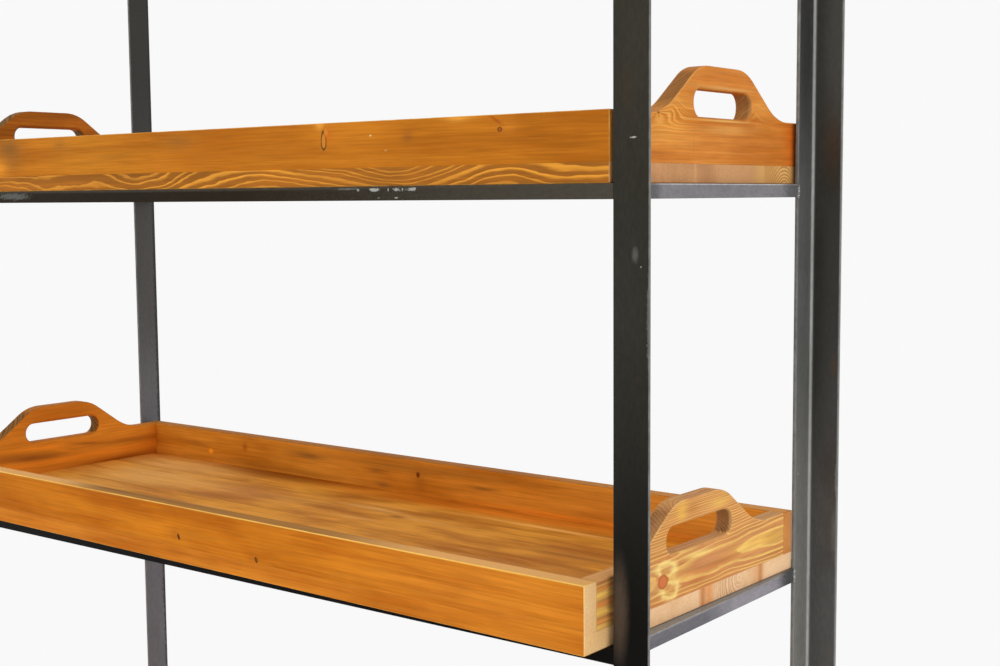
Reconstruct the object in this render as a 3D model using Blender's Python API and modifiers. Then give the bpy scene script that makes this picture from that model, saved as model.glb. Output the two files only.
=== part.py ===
"""Shelving unit: a welded steel angle frame that carries four removable wooden trays.

Units are metres and +Z is up. The front faces -Y and the length runs along X. The origin lies on the
floor, under the middle of the box round the whole unit with its second tray drawn a little forward.
"""
import math

import bmesh
import bpy
from mathutils import Matrix, Vector

# Fits
SEAT_GAP = 0.0003
TRAY_SIDE_GAP = 0.005
TRAY_INSET = 0.001

# The tray that stands drawn forward and a little askew, as loose trays do
DRAWN_TRAY = 2
TRAY_DRAWN = 0.0245
TRAY_SKEW_DEGREES = 1.25

# Steel angle of the posts and of the rails
POST_LEG = 0.040
POST_WALL = 0.004
POST_FILLET = 0.005
POST_TOE = 0.002
RAIL_LEG = 0.015
RAIL_WALL = 0.003
RAIL_FILLET = 0.003
RAIL_TOE = 0.0015

# Heights: the whole unit, and the rails' top faces, where trays sit
UNIT_HEIGHT = 1.654
POST_TOP_RISE = 0.150
LEVEL_SPACING = 0.452
LOWEST_LEVEL = 0.130
LEVEL_COUNT = 4

# Feet
GLIDE_RADIUS = 0.015
GLIDE_HEIGHT = 0.006
GLIDE_EASE = 0.0015
FOOT_PLATE_THICKNESS = 0.004
FOOT_PLATE_EASE = 0.0008

# Wooden trays
TRAY_LENGTH = 1.178
TRAY_DEPTH = 0.422
PLANK_THICKNESS = 0.020
PLANK_COUNT = 4
BOARD_THICKNESS = 0.0205
WALL_RISE = 0.0495
EDGE_EASE = 0.0012

# Handles of the end boards
HANDLE_RISE = 0.0525
HANDLE_TOP_WIDTH = 0.101
HANDLE_FOOT_WIDTH = 0.248
HANDLE_SHOULDER_RADIUS = 0.060
HANDLE_FOOT_RADIUS = 0.082
HOLE_LENGTH = 0.122
HOLE_HEIGHT = 0.0285
HOLE_CORNER_RADIUS = 0.0138
HOLE_CENTRE_ABOVE_WALL = 0.0135
HOLE_ROUND_OVER = 0.004

# The handles were cut by hand: how far some stand off the middle, towards the back, and how much longer
# their holes are
HANDLE_SHIFTS = {(2, "left"): 0.011, (2, "right"): 0.003, (3, "left"): -0.005, (3, "right"): 0.011}
HOLE_STRETCHES = {(2, "left"): 0.007, (2, "right"): 0.009}

# Fineness of the arcs
FILLET_STEPS = 4
SHOULDER_STEPS = 5
HOLE_STEPS = 5
ROUND_OVER_STEPS = 3
GLIDE_SIDES = 24

# Places that follow from the sizes
HALF_INSIDE = TRAY_LENGTH / 2 + TRAY_SIDE_GAP
FRAME_DEPTH = TRAY_DEPTH + 2 * TRAY_INSET
TRAY_SKEW = math.radians(TRAY_SKEW_DEGREES)
FRONT_REACH = TRAY_DRAWN + (TRAY_DEPTH * math.cos(TRAY_SKEW) + TRAY_LENGTH * math.sin(TRAY_SKEW)) / 2
MID_Y = (FRONT_REACH - FRAME_DEPTH / 2) / 2
FRONT_Y = MID_Y - FRAME_DEPTH / 2
BACK_Y = MID_Y + FRAME_DEPTH / 2
PLATE_Z = GLIDE_HEIGHT + SEAT_GAP
POST_FOOT_Z = PLATE_Z + FOOT_PLATE_THICKNESS + SEAT_GAP
BOARD_Z = PLANK_THICKNESS + SEAT_GAP
SIDES = {"left": -1, "right": 1}
ENDS = {"front": 1, "back": -1}

ALONG_X = (math.pi / 2, 0, math.pi / 2)
ALONG_Y = (math.pi / 2, 0, 0)


def level_height(level):
    """Height of the rails' top faces at a level, counted from 1 at the bottom."""
    if level == 1:
        return LOWEST_LEVEL
    return UNIT_HEIGHT - POST_TOP_RISE - (LEVEL_COUNT - level) * LEVEL_SPACING


def clear_scene():
    for obj in list(bpy.data.objects):
        bpy.data.objects.remove(obj, do_unlink=True)


def new_collection(name):
    collection = bpy.data.collections.new(name)
    bpy.context.scene.collection.children.link(collection)
    return collection


def new_material(name, colour, roughness, metallic):
    material = bpy.data.materials.new(name)
    material.use_nodes = True
    shader = material.node_tree.nodes["Principled BSDF"]
    shader.inputs["Base Color"].default_value = (*colour, 1)
    shader.inputs["Roughness"].default_value = roughness
    shader.inputs["Metallic"].default_value = metallic
    return material


def add_object(name, data, collection, material=None, location=(0, 0, 0), rotation=(0, 0, 0), parent=None):
    obj = bpy.data.objects.new(name, data)
    collection.objects.link(obj)
    obj.parent = parent
    obj.location = location
    obj.rotation_euler = rotation
    if material:
        obj.data.materials.append(material)
    return obj


def rounded(corners, steps):
    """Points of a closed outline from (x, y, radius) corners, each rounded by an arc of its radius."""
    points = []
    for index, (x, y, radius) in enumerate(corners):
        corner = Vector((x, y))
        if radius <= 0:
            points.append(corner)
            continue
        before = (Vector(corners[index - 1][:2]) - corner).normalized()
        after = (Vector(corners[(index + 1) % len(corners)][:2]) - corner).normalized()
        half_angle = before.angle(after) / 2
        tangent = radius / math.tan(half_angle)
        centre = corner + (before + after).normalized() * radius / math.sin(half_angle)
        first = corner + before * tangent - centre
        turn = first.angle_signed(corner + after * tangent - centre)
        for step in range(steps + 1):
            points.append(centre + Matrix.Rotation(-turn * step / steps, 2) @ first)
    return points


def prism_curve(name, outline, length):
    """A flat outline, filled on both sides and extruded by half its length each way."""
    curve = bpy.data.curves.new(name, "CURVE")
    curve.dimensions = "2D"
    curve.fill_mode = "BOTH"
    curve.extrude = length / 2
    spline = curve.splines.new("POLY")
    spline.points.add(len(outline) - 1)
    for point, (x, y) in zip(spline.points, outline):
        point.co = (x, y, 0, 1)
    spline.use_cyclic_u = True
    return curve


def angle_outline(leg, wall, fillet, toe, sign_x, sign_y):
    """Section of an equal angle with its outer corner at 0, 0 and its legs along sign_x and sign_y."""
    corners = [(0, 0, 0), (leg, 0, 0), (leg, wall, toe), (wall, wall, fillet), (wall, leg, toe), (0, leg, 0)]
    placed = [(x * sign_x, y * sign_y, radius) for x, y, radius in corners]
    if sign_x * sign_y < 0:
        placed.reverse()
    return rounded(placed, FILLET_STEPS)


def add_post(side, end, collection, steel):
    outline = angle_outline(POST_LEG, POST_WALL, POST_FILLET, POST_TOE, SIDES[side], ENDS[end])
    name = f"post_{end}_{side}"
    corner = (SIDES[side] * HALF_INSIDE, FRONT_Y if end == "front" else BACK_Y)
    curve = prism_curve(name, outline, UNIT_HEIGHT - POST_FOOT_Z)
    add_object(name, curve, collection, steel, (*corner, (UNIT_HEIGHT + POST_FOOT_Z) / 2))
    return corner


def add_foot(side, end, corner, collection, steel, rubber):
    """A plate that closes the angle's lower end, and the glide under it."""
    x = corner[0] + SIDES[side] * POST_LEG / 2
    y = corner[1] + ENDS[end] * POST_LEG / 2
    plate_size = (POST_LEG, POST_LEG, FOOT_PLATE_THICKNESS)
    plate_place = (x, y, PLATE_Z + FOOT_PLATE_THICKNESS / 2)
    add_box(f"foot_plate_{end}_{side}", plate_size, FOOT_PLATE_EASE, collection, steel, plate_place)
    name = f"glide_{end}_{side}"
    mesh = bpy.data.meshes.new(name)
    form = bmesh.new()
    bmesh.ops.create_cone(form, cap_ends=True, segments=GLIDE_SIDES, radius1=GLIDE_RADIUS,
                          radius2=GLIDE_RADIUS, depth=GLIDE_HEIGHT)
    form.to_mesh(mesh)
    form.free()
    glide = add_object(name, mesh, collection, rubber, (x, y, GLIDE_HEIGHT / 2))
    ease_edges(glide, GLIDE_EASE)


def add_rails(level, collection, steel):
    """The front, back, left and right rails of a level, welded between the posts' inner legs."""
    z = level_height(level)
    long_length = 2 * (HALF_INSIDE - SEAT_GAP)
    short_length = FRAME_DEPTH - 2 * (POST_LEG + SEAT_GAP)
    for end, sign in ENDS.items():
        outline = angle_outline(RAIL_LEG, RAIL_WALL, RAIL_FILLET, RAIL_TOE, sign, -1)
        name = f"rail_{level}_{end}"
        place = (0, FRONT_Y if end == "front" else BACK_Y, z)
        add_object(name, prism_curve(name, outline, long_length), collection, steel, place, ALONG_X)
    for side, sign in SIDES.items():
        outline = angle_outline(RAIL_LEG, RAIL_WALL, RAIL_FILLET, RAIL_TOE, -sign, -1)
        name = f"rail_{level}_{side}"
        place = (sign * (HALF_INSIDE + POST_WALL), MID_Y, z)
        add_object(name, prism_curve(name, outline, short_length), collection, steel, place, ALONG_Y)


def ease_edges(obj, width):
    """Breaks an object's sharp edges by a narrow chamfer."""
    bevel = obj.modifiers.new("eased edges", "BEVEL")
    bevel.width = width
    bevel.segments = 1
    bevel.limit_method = "ANGLE"


def add_box(name, size, ease, collection, material, location, parent=None):
    mesh = bpy.data.meshes.new(name)
    form = bmesh.new()
    bmesh.ops.create_cube(form, size=1)
    bmesh.ops.scale(form, vec=size, verts=form.verts)
    form.to_mesh(mesh)
    form.free()
    obj = add_object(name, mesh, collection, material, location, parent=parent)
    ease_edges(obj, ease)
    return obj


def end_board_outline(shift):
    """Front view of an end board: a low wall with a raised handle that stands off the middle by the shift."""
    half_length = TRAY_DEPTH / 2 - BOARD_THICKNESS - SEAT_GAP
    foot = (HANDLE_FOOT_WIDTH / 2, WALL_RISE, HANDLE_FOOT_RADIUS)
    shoulder = (HANDLE_TOP_WIDTH / 2, WALL_RISE + HANDLE_RISE, HANDLE_SHOULDER_RADIUS)
    right = [(shift + x, y, radius) for x, y, radius in (foot, shoulder)]
    left = [(shift - x, y, radius) for x, y, radius in (shoulder, foot)]
    right_end = [(half_length, 0, 0), (half_length, WALL_RISE, 0)]
    left_end = [(-x, y, radius) for x, y, radius in reversed(right_end)]
    return rounded(right_end + right + left + left_end, SHOULDER_STEPS)


def hole_outline(stretch, growth):
    """The hand hole, lengthened by the stretch and grown evenly all round."""
    half_length = (HOLE_LENGTH + stretch) / 2 + growth
    half_height = HOLE_HEIGHT / 2 + growth
    radius = HOLE_CORNER_RADIUS + growth
    signs = [(1, 1), (-1, 1), (-1, -1), (1, -1)]
    return rounded([(x * half_length, y * half_height, radius) for x, y in signs], HOLE_STEPS)


def hole_cutter(shift, stretch, cutters):
    """A loft through the hand hole that flares at both faces, so that its edges come out rounded over."""
    half = BOARD_THICKNESS / 2
    quarter = [math.pi / 2 * step / ROUND_OVER_STEPS for step in range(ROUND_OVER_STEPS + 1)]
    flare = [(half - HOLE_ROUND_OVER * (1 - math.sin(a)), HOLE_ROUND_OVER * (1 - math.cos(a))) for a in quarter]
    outside = [(half + HOLE_ROUND_OVER, HOLE_ROUND_OVER)]
    upper = flare + outside
    sections = [(-depth, growth) for depth, growth in reversed(upper)] + upper
    form = bmesh.new()
    loops = []
    for depth, growth in sections:
        loops.append([form.verts.new((x, y, depth)) for x, y in hole_outline(stretch, growth)])
    form.faces.new(reversed(loops[0]))
    form.faces.new(loops[-1])
    for lower, higher in zip(loops, loops[1:]):
        for index in range(len(lower)):
            after = (index + 1) % len(lower)
            form.faces.new((lower[index], lower[after], higher[after], higher[index]))
    mesh = bpy.data.meshes.new("hand_hole")
    form.to_mesh(mesh)
    form.free()
    return add_object("hand_hole", mesh, cutters, location=(shift, WALL_RISE + HOLE_CENTRE_ABOVE_WALL, 0))


def end_board_mesh(level, side, cutters):
    """An end board as a welded mesh, with the hand hole cut through it."""
    shift = HANDLE_SHIFTS.get((level, side), 0)
    stretch = HOLE_STRETCHES.get((level, side), 0)
    curve = prism_curve("end_board", end_board_outline(shift), BOARD_THICKNESS)
    plain = add_object("end_board_plain", curve, cutters)
    blank = add_object("end_board_blank", welded_mesh(plain), cutters)
    cutter = hole_cutter(shift, stretch, cutters)
    cut = blank.modifiers.new("hand hole", "BOOLEAN")
    cut.operation = "DIFFERENCE"
    cut.solver = "EXACT"
    cut.object = cutter
    board = welded_mesh(blank)
    for helper in (plain, blank, cutter):
        bpy.data.objects.remove(helper, do_unlink=True)
    return board


def welded_mesh(obj):
    """A mesh of the object as it is evaluated, with its loose caps joined to its sides."""
    depsgraph = bpy.context.evaluated_depsgraph_get()
    mesh = bpy.data.meshes.new_from_object(obj.evaluated_get(depsgraph))
    form = bmesh.new()
    form.from_mesh(mesh)
    bmesh.ops.remove_doubles(form, verts=form.verts, dist=SEAT_GAP / 100)
    form.to_mesh(mesh)
    form.free()
    return mesh


def add_tray(level, collection, cutters, wood):
    """A tray on its own empty, which sits on the rails where the tray slides."""
    drawn = TRAY_DRAWN if level == DRAWN_TRAY else 0
    skew = TRAY_SKEW if level == DRAWN_TRAY else 0
    place = (0, MID_Y - drawn, level_height(level) + SEAT_GAP)
    slide = add_object(f"tray_{level}_slide", None, collection, location=place, rotation=(0, 0, -skew))
    plank_width = (TRAY_DEPTH - (PLANK_COUNT - 1) * SEAT_GAP) / PLANK_COUNT
    for index in range(PLANK_COUNT):
        y = -TRAY_DEPTH / 2 + plank_width / 2 + index * (plank_width + SEAT_GAP)
        size = (TRAY_LENGTH, plank_width, PLANK_THICKNESS)
        place = (0, y, PLANK_THICKNESS / 2)
        add_box(f"tray_{level}_plank_{index + 1}", size, EDGE_EASE, collection, wood, place, slide)
    for end, sign in ENDS.items():
        size = (TRAY_LENGTH, BOARD_THICKNESS, WALL_RISE)
        place = (0, -sign * (TRAY_DEPTH - BOARD_THICKNESS) / 2, BOARD_Z + WALL_RISE / 2)
        add_box(f"tray_{level}_{end}_board", size, EDGE_EASE, collection, wood, place, slide)
    for side, sign in SIDES.items():
        place = (sign * (TRAY_LENGTH - BOARD_THICKNESS) / 2, 0, BOARD_Z)
        mesh = end_board_mesh(level, side, cutters)
        add_object(f"tray_{level}_{side}_end", mesh, collection, wood, place, ALONG_X, slide)


def main():
    clear_scene()
    unit = new_collection("shelving_unit")
    cutters = new_collection("cutters")
    steel = new_material("black_steel", (0.035, 0.035, 0.034), 0.42, 0.85)
    wood = new_material("stained_pine", (0.47, 0.19, 0.035), 0.48, 0.0)
    rubber = new_material("glide_rubber", (0.02, 0.02, 0.02), 0.8, 0.0)
    for side in SIDES:
        for end in ENDS:
            corner = add_post(side, end, unit, steel)
            add_foot(side, end, corner, unit, steel, rubber)
    for level in range(1, LEVEL_COUNT + 1):
        add_rails(level, unit, steel)
        add_tray(level, unit, cutters, wood)


main()
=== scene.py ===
"""Looks of the shelving unit: honey-stained pine trays on a black steel angle frame, in a pale studio.

Units are metres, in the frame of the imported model. Each wooden board stands where its CAD node does.
"""
import math
import random

import bmesh
import bpy
from mathutils import Matrix, Vector


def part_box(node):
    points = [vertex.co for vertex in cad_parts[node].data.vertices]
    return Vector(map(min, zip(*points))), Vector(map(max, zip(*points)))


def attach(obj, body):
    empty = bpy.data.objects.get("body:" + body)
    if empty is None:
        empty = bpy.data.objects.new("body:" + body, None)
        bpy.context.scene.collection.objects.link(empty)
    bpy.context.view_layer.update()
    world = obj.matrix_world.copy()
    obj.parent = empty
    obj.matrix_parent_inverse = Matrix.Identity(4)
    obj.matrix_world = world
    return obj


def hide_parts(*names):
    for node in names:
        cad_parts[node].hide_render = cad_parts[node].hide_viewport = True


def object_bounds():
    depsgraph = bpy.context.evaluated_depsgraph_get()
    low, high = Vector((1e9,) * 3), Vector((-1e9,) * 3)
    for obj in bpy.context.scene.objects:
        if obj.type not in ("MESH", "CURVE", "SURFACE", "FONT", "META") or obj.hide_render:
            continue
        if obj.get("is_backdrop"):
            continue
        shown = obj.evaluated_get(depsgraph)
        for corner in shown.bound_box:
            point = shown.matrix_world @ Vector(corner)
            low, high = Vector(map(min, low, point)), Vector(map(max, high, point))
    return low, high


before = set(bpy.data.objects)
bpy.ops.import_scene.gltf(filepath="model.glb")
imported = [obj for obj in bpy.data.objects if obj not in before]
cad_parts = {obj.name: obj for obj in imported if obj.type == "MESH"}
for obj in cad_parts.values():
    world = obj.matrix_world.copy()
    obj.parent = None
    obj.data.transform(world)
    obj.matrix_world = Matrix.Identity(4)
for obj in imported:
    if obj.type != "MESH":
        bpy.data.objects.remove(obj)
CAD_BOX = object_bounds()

# Trays, as the CAD has them
TRAY_COUNT = 4
PLANK_COUNT = 4
PLAIN_TRAY = 1
TRAY_TURN = {2: math.radians(-1.25)}

# Shape of the end boards, measured from the middle of their lower edge
WALL_RISE = 0.0495
HANDLE_RISE = 0.0525
HANDLE_TOP_WIDTH = 0.101
HANDLE_FOOT_WIDTH = 0.248
HANDLE_SHOULDER_RADIUS = 0.060
HANDLE_FOOT_RADIUS = 0.082
HOLE_LENGTH = 0.122
HOLE_HEIGHT = 0.0285
HOLE_CORNER_RADIUS = 0.0138
HOLE_CENTRE_ABOVE_WALL = 0.0135
HOLE_ROUND_OVER = 0.004

# Handles that stand off the middle, towards the back, and holes that are longer than the rest
HANDLE_SHIFTS = {(2, "left"): 0.011, (2, "right"): 0.003, (3, "left"): -0.005, (3, "right"): 0.011}
HOLE_STRETCHES = {(2, "left"): 0.007, (2, "right"): 0.009}

# Sanded edges, glued seams, the fineness of the arcs, and the least turn that counts as a corner
BOARD_EASE = 0.0010
HANDLE_EASE = 0.0017
SHARP_EASE = 0.00012
HOLE_WEAR = 0.45
SEAM = 0.00012
EASE_STEPS = 3
ARC_STEPS = 14
ROUND_OVER_STEPS = 5
SHARP_ANGLE = math.radians(50)
CORNER_TURN = 0.4

# Weld beads at the rails' ends
BEAD_RADIUS = 0.0021
BEAD_LENGTH = 0.0165
BEAD_RINGS = 12
BEAD_SIDES = 10
BEAD_SEED = 17
BEAD_TIP = 0.02
BEAD_LUMPS = (0.86, 1.1)

# Camera, at the photograph's place and angle
CAMERA_PLACE = (1.34912, -1.35551, 1.03983)
CAMERA_YAW = math.radians(37.498)
CAMERA_PITCH = math.radians(5.337)
CAMERA_ROLL = math.radians(0.446)
CAMERA_LENS = 52.382
CAMERA_FAR = 100
SENSOR_WIDTH = 36.0

# Studio; each light has its place, target, size and power, and shows in gloss or doesn't
BACKGROUND = 0.947
WHITE = (1, 1, 1, 1)
FLOOR_COLOUR = (0.86, 0.86, 0.855, 1.0)
FLOOR_RADIUS = 14.0
FLOOR_SEGMENTS = 96
FLOOR_FADE = (0.75, 1.25)
WORLD_LIGHT = 0.88
LIGHTS = {
    "key": ((3.0, -1.9, 1.8), (0, 0, 0.8), (1.6, 2.2), 16, True),
    "fill": ((-0.9, -2.8, 2.85), (0, 0, 0.8), (2.6, 2.2), 18, False),
    "window": ((2.2, 3.2, 1.3), (0.3, 0, 0.8), (2.0, 2.4), 10, True)}

# Where a noise mostly stays, and no shift of its place
NOISE_RANGE = (0.3, 0.7)
NO_SHIFT = (0, 0, 0)


def srgb(red, green, blue):
    """Scene-linear colour from 0 to 255 values as a picture shows them."""
    channels = [value / 255 for value in (red, green, blue)]
    return tuple(c / 12.92 if c <= 0.04045 else ((c + 0.055) / 1.055) ** 2.4 for c in channels) + (1.0,)


class Nodes:
    """Adds shader nodes to a tree by short calls that give back the socket to go on from."""

    def __init__(self, tree):
        self.tree = tree
        tree.nodes.clear()

    def add(self, kind, sockets=(), **settings):
        node = self.tree.nodes.new(kind)
        for key, value in settings.items():
            setattr(node, key, value)
        for key, value in dict(sockets).items():
            self.feed(node.inputs[key], value)
        return node

    def feed(self, socket, value):
        if isinstance(value, bpy.types.NodeSocket):
            self.tree.links.new(value, socket)
        else:
            socket.default_value = value

    def math(self, operation, *values, clamp=False):
        node = self.add("ShaderNodeMath", enumerate(values), operation=operation, use_clamp=clamp)
        return node.outputs[0]

    def times(self, first, second, clamp=False):
        return self.math("MULTIPLY", first, second, clamp=clamp)

    def plus(self, first, second):
        return self.math("ADD", first, second)

    def minus(self, first, second):
        return self.math("SUBTRACT", first, second)

    def times_plus(self, first, second, third):
        return self.math("MULTIPLY_ADD", first, second, third)

    def split(self, vector):
        return self.add("ShaderNodeSeparateXYZ", {"Vector": vector}).outputs

    def scaled(self, vector, factors, shift=NO_SHIFT):
        node = self.add("ShaderNodeVectorMath", {0: vector, 1: factors, 2: shift}, operation="MULTIPLY_ADD")
        return node.outputs[0]

    def length(self, vector):
        return self.add("ShaderNodeVectorMath", {0: vector}, operation="LENGTH").outputs["Value"]

    def noise(self, vector, detail=2.0, roughness=0.5):
        sockets = {"Vector": vector, "Scale": 1.0, "Detail": detail, "Roughness": roughness}
        return self.add("ShaderNodeTexNoise", sockets).outputs["Fac"]

    def texture(self, place, scale, shift=NO_SHIFT, detail=2.0, roughness=0.5):
        """A noise over places, by its scale along each axis."""
        return self.noise(self.scaled(place, scale, shift), detail, roughness)

    def smooth(self, value, low, high):
        """0 below low and 1 above high, or the reverse where low is the larger, with a soft passage."""
        limits = {"Value": value, "From Min": low, "From Max": high}
        return self.add("ShaderNodeMapRange", limits, interpolation_type="SMOOTHSTEP").outputs["Result"]

    def spread(self, value, low, high, first, last):
        """Carries low..high over to first..last, without going past them."""
        limits = {"Value": value, "From Min": low, "From Max": high, "To Min": first, "To Max": last}
        return self.add("ShaderNodeMapRange", limits).outputs["Result"]

    def vary(self, noise, first, last):
        """Carries the usual range of a noise over to first..last."""
        return self.spread(noise, *NOISE_RANGE, first, last)

    def swing(self, noise, reach):
        """A noise as a move to both sides; most of it stays within the reach."""
        return self.spread(noise, 0.0, 1.0, -2.0 * reach, 2.0 * reach)

    def blend(self, factor, first, second, mode="MIX"):
        sockets = {0: factor, 6: first, 7: second}
        return self.add("ShaderNodeMix", sockets, data_type="RGBA", blend_type=mode).outputs[2]

    def dapple(self, colour, noise, darkest, lightest):
        """A colour made darker and lighter by a noise."""
        factor = self.vary(noise, darkest, lightest)
        grey = self.add("ShaderNodeCombineColor", {0: factor, 1: factor, 2: factor}).outputs[0]
        return self.blend(1.0, colour, grey, "MULTIPLY")

    def fade(self, square):
        """1 where a squared distance is 0, fading softly as it grows."""
        return self.math("POWER", math.e, self.times(square, -1.0))

    def bell(self, gap):
        return self.fade(self.times(gap, gap))

    def band(self, value, at, size):
        """1 at a value, fading softly as far as its size."""
        return self.bell(self.math("DIVIDE", self.minus(value, at), size))

    def oval(self, u, v, at, size, turn):
        """Distance from the middle of an oval, squared, which is 1 on its outline."""
        du = self.minus(u, at[0])
        dv = self.minus(v, at[1])
        cos, sin = math.cos(turn), math.sin(turn)
        along = self.times_plus(du, cos / size[0], self.times(dv, sin / size[0]))
        across = self.times_plus(du, -sin / size[1], self.times(dv, cos / size[1]))
        return self.times_plus(along, along, self.times(across, across))

    def bumps(self, height, strength, distance):
        node = self.add("ShaderNodeBump", {"Strength": strength, "Distance": distance, "Height": height})
        return node.outputs[0]


def new_material(name):
    material = bpy.data.materials.new(name)
    material.use_nodes = True
    return material, Nodes(material.node_tree)


def surface(nodes, colour, roughness, bump=None, **constants):
    """Ends a material with a Principled shader; the constants are set on its own sockets."""
    shader = nodes.add("ShaderNodeBsdfPrincipled", {"Base Color": colour, "Roughness": roughness})
    for key, value in constants.items():
        shader.inputs[key.replace("_", " ")].default_value = value
    if bump:
        nodes.feed(shader.inputs["Normal"], bump)
    nodes.add("ShaderNodeOutputMaterial", {"Surface": shader.outputs[0]})


def tones(base, **changes):
    """Stains of a board: those of the base, some of them changed, from 0 to 255 values."""
    return {**base, **{name: srgb(*colour) for name, colour in changes.items()}}


def stain(at, size, colour, gain, turn=0.0):
    """A soft oval of colour on a board, or a streak over its end where place and size are one number each."""
    return {"at": at, "size": size, "colour": srgb(*colour), "gain": gain, "turn": turn}


def bend(at, size, gain):
    """A soft oval on a board where its rings swell or grow stronger."""
    return {"at": at, "size": size, "gain": gain, "turn": 0.0}


def loop(at, size, width, gain, turn=0.0):
    """A pale ring beside a knot."""
    return {"at": at, "size": size, "width": width, "gain": gain, "turn": turn}


def knot(at, size, swirl, rim, core, thin, turn=0.0):
    """An oval knot: how far it moves the rings, the colours of its rim and core, and the core's share."""
    return {"at": at, "size": size, "swirl": swirl, "rim": srgb(*rim), "core": srgb(*core), "thin": thin,
            "turn": turn}


# Stains: deep and pale wood, late rings, end grain, worn edges and top faces; the tones of worn edges and top
# faces are partly painted highlight, sheen and shade
GOLD = tones({}, deep=(166, 92, 10), pale=(202, 122, 22), late=(216, 142, 38), end=(226, 176, 120),
             end_deep=(196, 140, 88), worn=(240, 184, 92), top=(206, 150, 84), end_line=(240, 184, 92))
ROSY = tones(GOLD, deep=(190, 106, 30), pale=(222, 142, 60), late=(240, 178, 88), end=(156, 106, 62),
             end_deep=(118, 76, 44), worn=(228, 166, 92), top=(190, 132, 76))
BROWN = tones(GOLD, deep=(146, 90, 30), pale=(178, 108, 36), late=(232, 156, 54), end=(216, 158, 108),
              end_deep=(198, 144, 98))
YELLOW = tones(GOLD, deep=(200, 128, 70), pale=(216, 148, 92), late=(248, 206, 112), end=(178, 130, 86),
               end_deep=(132, 90, 56), worn=(240, 192, 122), top=(206, 158, 112))
# Floor planks: a paler stain, partly painted light that makes up for the shade of the tray above
FLOOR = tones(GOLD, deep=(178, 104, 14), pale=(236, 166, 54), late=(240, 178, 84), end=(248, 206, 162),
              end_deep=(236, 190, 142))
# Inner faces of the lower back board and the left ends: a lighter stain, painted light that makes up for their
# shade
SHADED = tones(GOLD, deep=(196, 120, 28), pale=(230, 154, 52), late=(240, 160, 52), end=(218, 146, 84),
               end_deep=(200, 126, 66))

# Colours used in several places
RED_KNOT = (216, 122, 70)
CREAM = srgb(250, 218, 134)
SMUDGE = (134, 92, 42)
PALE_SPECK = (252, 222, 160)
# Pale top faces: partly sanded through the stain, partly painted sheen
PALE_TOP_AND_SHEEN = srgb(230, 174, 106)
FOOT_SHADE = (140, 80, 18)

# What every board starts from; a board's own look changes some of it. Its places lie on the face named, the
# pith is the middle of its rings, ring is a year's width, sway and quiver are how far the rings wander, and
# grain is the scale of its streaks along the board and aside
PLAIN = dict(
    tone=GOLD, face="xz", pith=(0.05, -0.04), lean=(0.01, 0.0), ring=0.0034, squeeze=0.0, late_from=0.25,
    figure=0.22, uneven=0.7, sway=0.003, sway_scale=2.6, quiver=0.0008, grain=(2.2, 80.0), top=0.6, loops=(),
    eddies=(), knots=(), flames=(), patches=(), end_streaks=(), end_rings=0.2, end_focus=(0.0, 1.0),
    top_fades=(), end_foot=0.0)
FLOOR_GRAIN = (7.0, 42.0)

# Noises in the wood: scale along the board and aside, detail and roughness; each board gives the first
# scales of its streaks and its slow sway
BLOTCHES = (6.0, 18.0, 3.0, 0.55)
FIBRES = (14.0, 460.0, 3.0, 0.6)
STREAKS = (3.0, 0.6)
SLOW_SWAY = (10.0, 1.0)
QUICK_SWAY = (20.0, 70.0)
RING_VIGOUR = (4.0, 30.0, 1.0)
LOOP_WOBBLE = (55.0, 95.0)
SPECKLES = (120.0, 520.0)
RUBBING = (45.0, 60.0, 3.0)
YEARS = (0.4, 1.7)
SEED_STEPS = (3.17, 7.31, 5.53)

# How the noises act: bounds of a soft passage, or shares at their low and at their high end
STAIN_SHARES = (0.45, 0.55)
STAIN_PASSAGE = (0.35, 0.65)
SPOT_SHARES = (0.6, 1.3)
FIBRE_SHADES = (0.86, 1.14)
LATE_FULL = 0.86
LATE_CLOSE = (1.0, 0.93)
LATE_SHIFT = 0.5
RING_SHARES = (0.6, 1.2)
YEAR_RANGE = (0.25, 0.75)
YEAR_SHARES = (0.6, 1.1)
LOOP_RAGGED = 0.22
LOOP_RANGE = (0.35, 0.65)
LOOP_SHARES = (0.6, 1.4)
TOP_SHARES = (0.7, 1.1)
END_RANGE = (0.38, 0.62)
SPECKLE_SHADES = (0.92, 1.06)
RUB_RANGE = (0.35, 0.62)
RUB_SHARES = (0.25, 0.85)

# Gloss and relief of the wood
LATE_GLOSS = -0.4
GLOSS_RANGE = (0.1, 0.8)
PINE_ROUGHNESS = (0.55, 0.75)
PINE_RELIEF = (0.35, 0.0003)
PINE_SPECULAR = 0.06
FIBRE_HEIGHT = 0.6
RING_HEIGHT = 0.5

# Knots: how far their swirl reaches by their size, where the rim fades, and the small ones on plain planks
SWIRL_REACH = 1.5
KNOT_SOFTNESS = 0.15
KNOT_RIM = (1.2, 0.95)
KNOT_CHANCE = 0.6
SMALL_KNOT = dict(size=(0.006, 0.0045), swirl=0.006, rim=(120, 66, 22), core=(150, 82, 30), thin=0.75)

# How far a normal leans before a face counts as top or as end, and the dark lower edge of the planks' ends,
# painted shade
TOP_FACING = (0.75, 0.97)
END_FACING = (0.28, 0.62)
PLANK_FOOT = (-0.0085, -0.0096)

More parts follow.
